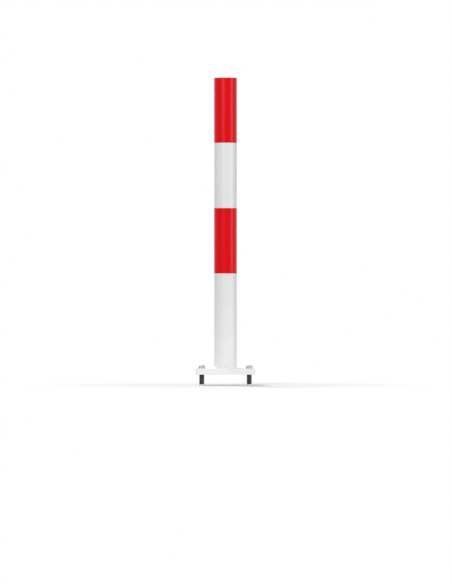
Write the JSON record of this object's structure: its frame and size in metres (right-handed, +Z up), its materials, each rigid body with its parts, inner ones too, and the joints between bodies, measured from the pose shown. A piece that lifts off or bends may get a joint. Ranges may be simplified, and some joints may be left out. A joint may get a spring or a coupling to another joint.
{
  "type": "fixed steel bollard",
  "caption": "Round steel post on a square base plate, banded in red and white, with hex bolts and threaded ground anchors that fix it down.",
  "frame": {"origin": "ground level: the middle of the base plate's underside", "axes": "+Z up the post, X and Y along the plate's sides, front towards -Y"},
  "size_m": [0.2, 0.2, 1.037],
  "materials": {
    "white_coating": "satin",
    "red_film": "gloss",
    "zinc_plating": "satin",
    "anchor_steel": "satin"
  },
  "bodies": {
    "root": {"post_tube": "white_coating", "top_lid": "white_coating", "lid_weld": "white_coating", "base_plate": "white_coating", "base_weld": "white_coating", "red_band_upper": "red_film", "red_band_lower": "red_film", "anchor_bolt_front_left": "zinc_plating", "anchor_bolt_front_right": "zinc_plating", "anchor_bolt_rear_left": "zinc_plating", "anchor_bolt_rear_right": "zinc_plating", "washer_front_left": "zinc_plating", "washer_front_right": "zinc_plating", "washer_rear_left": "zinc_plating", "washer_rear_right": "zinc_plating", "anchor_sleeve_front_left": "anchor_steel", "anchor_sleeve_front_right": "anchor_steel", "anchor_sleeve_rear_left": "anchor_steel", "anchor_sleeve_rear_right": "anchor_steel"}
  },
  "joints": []
}
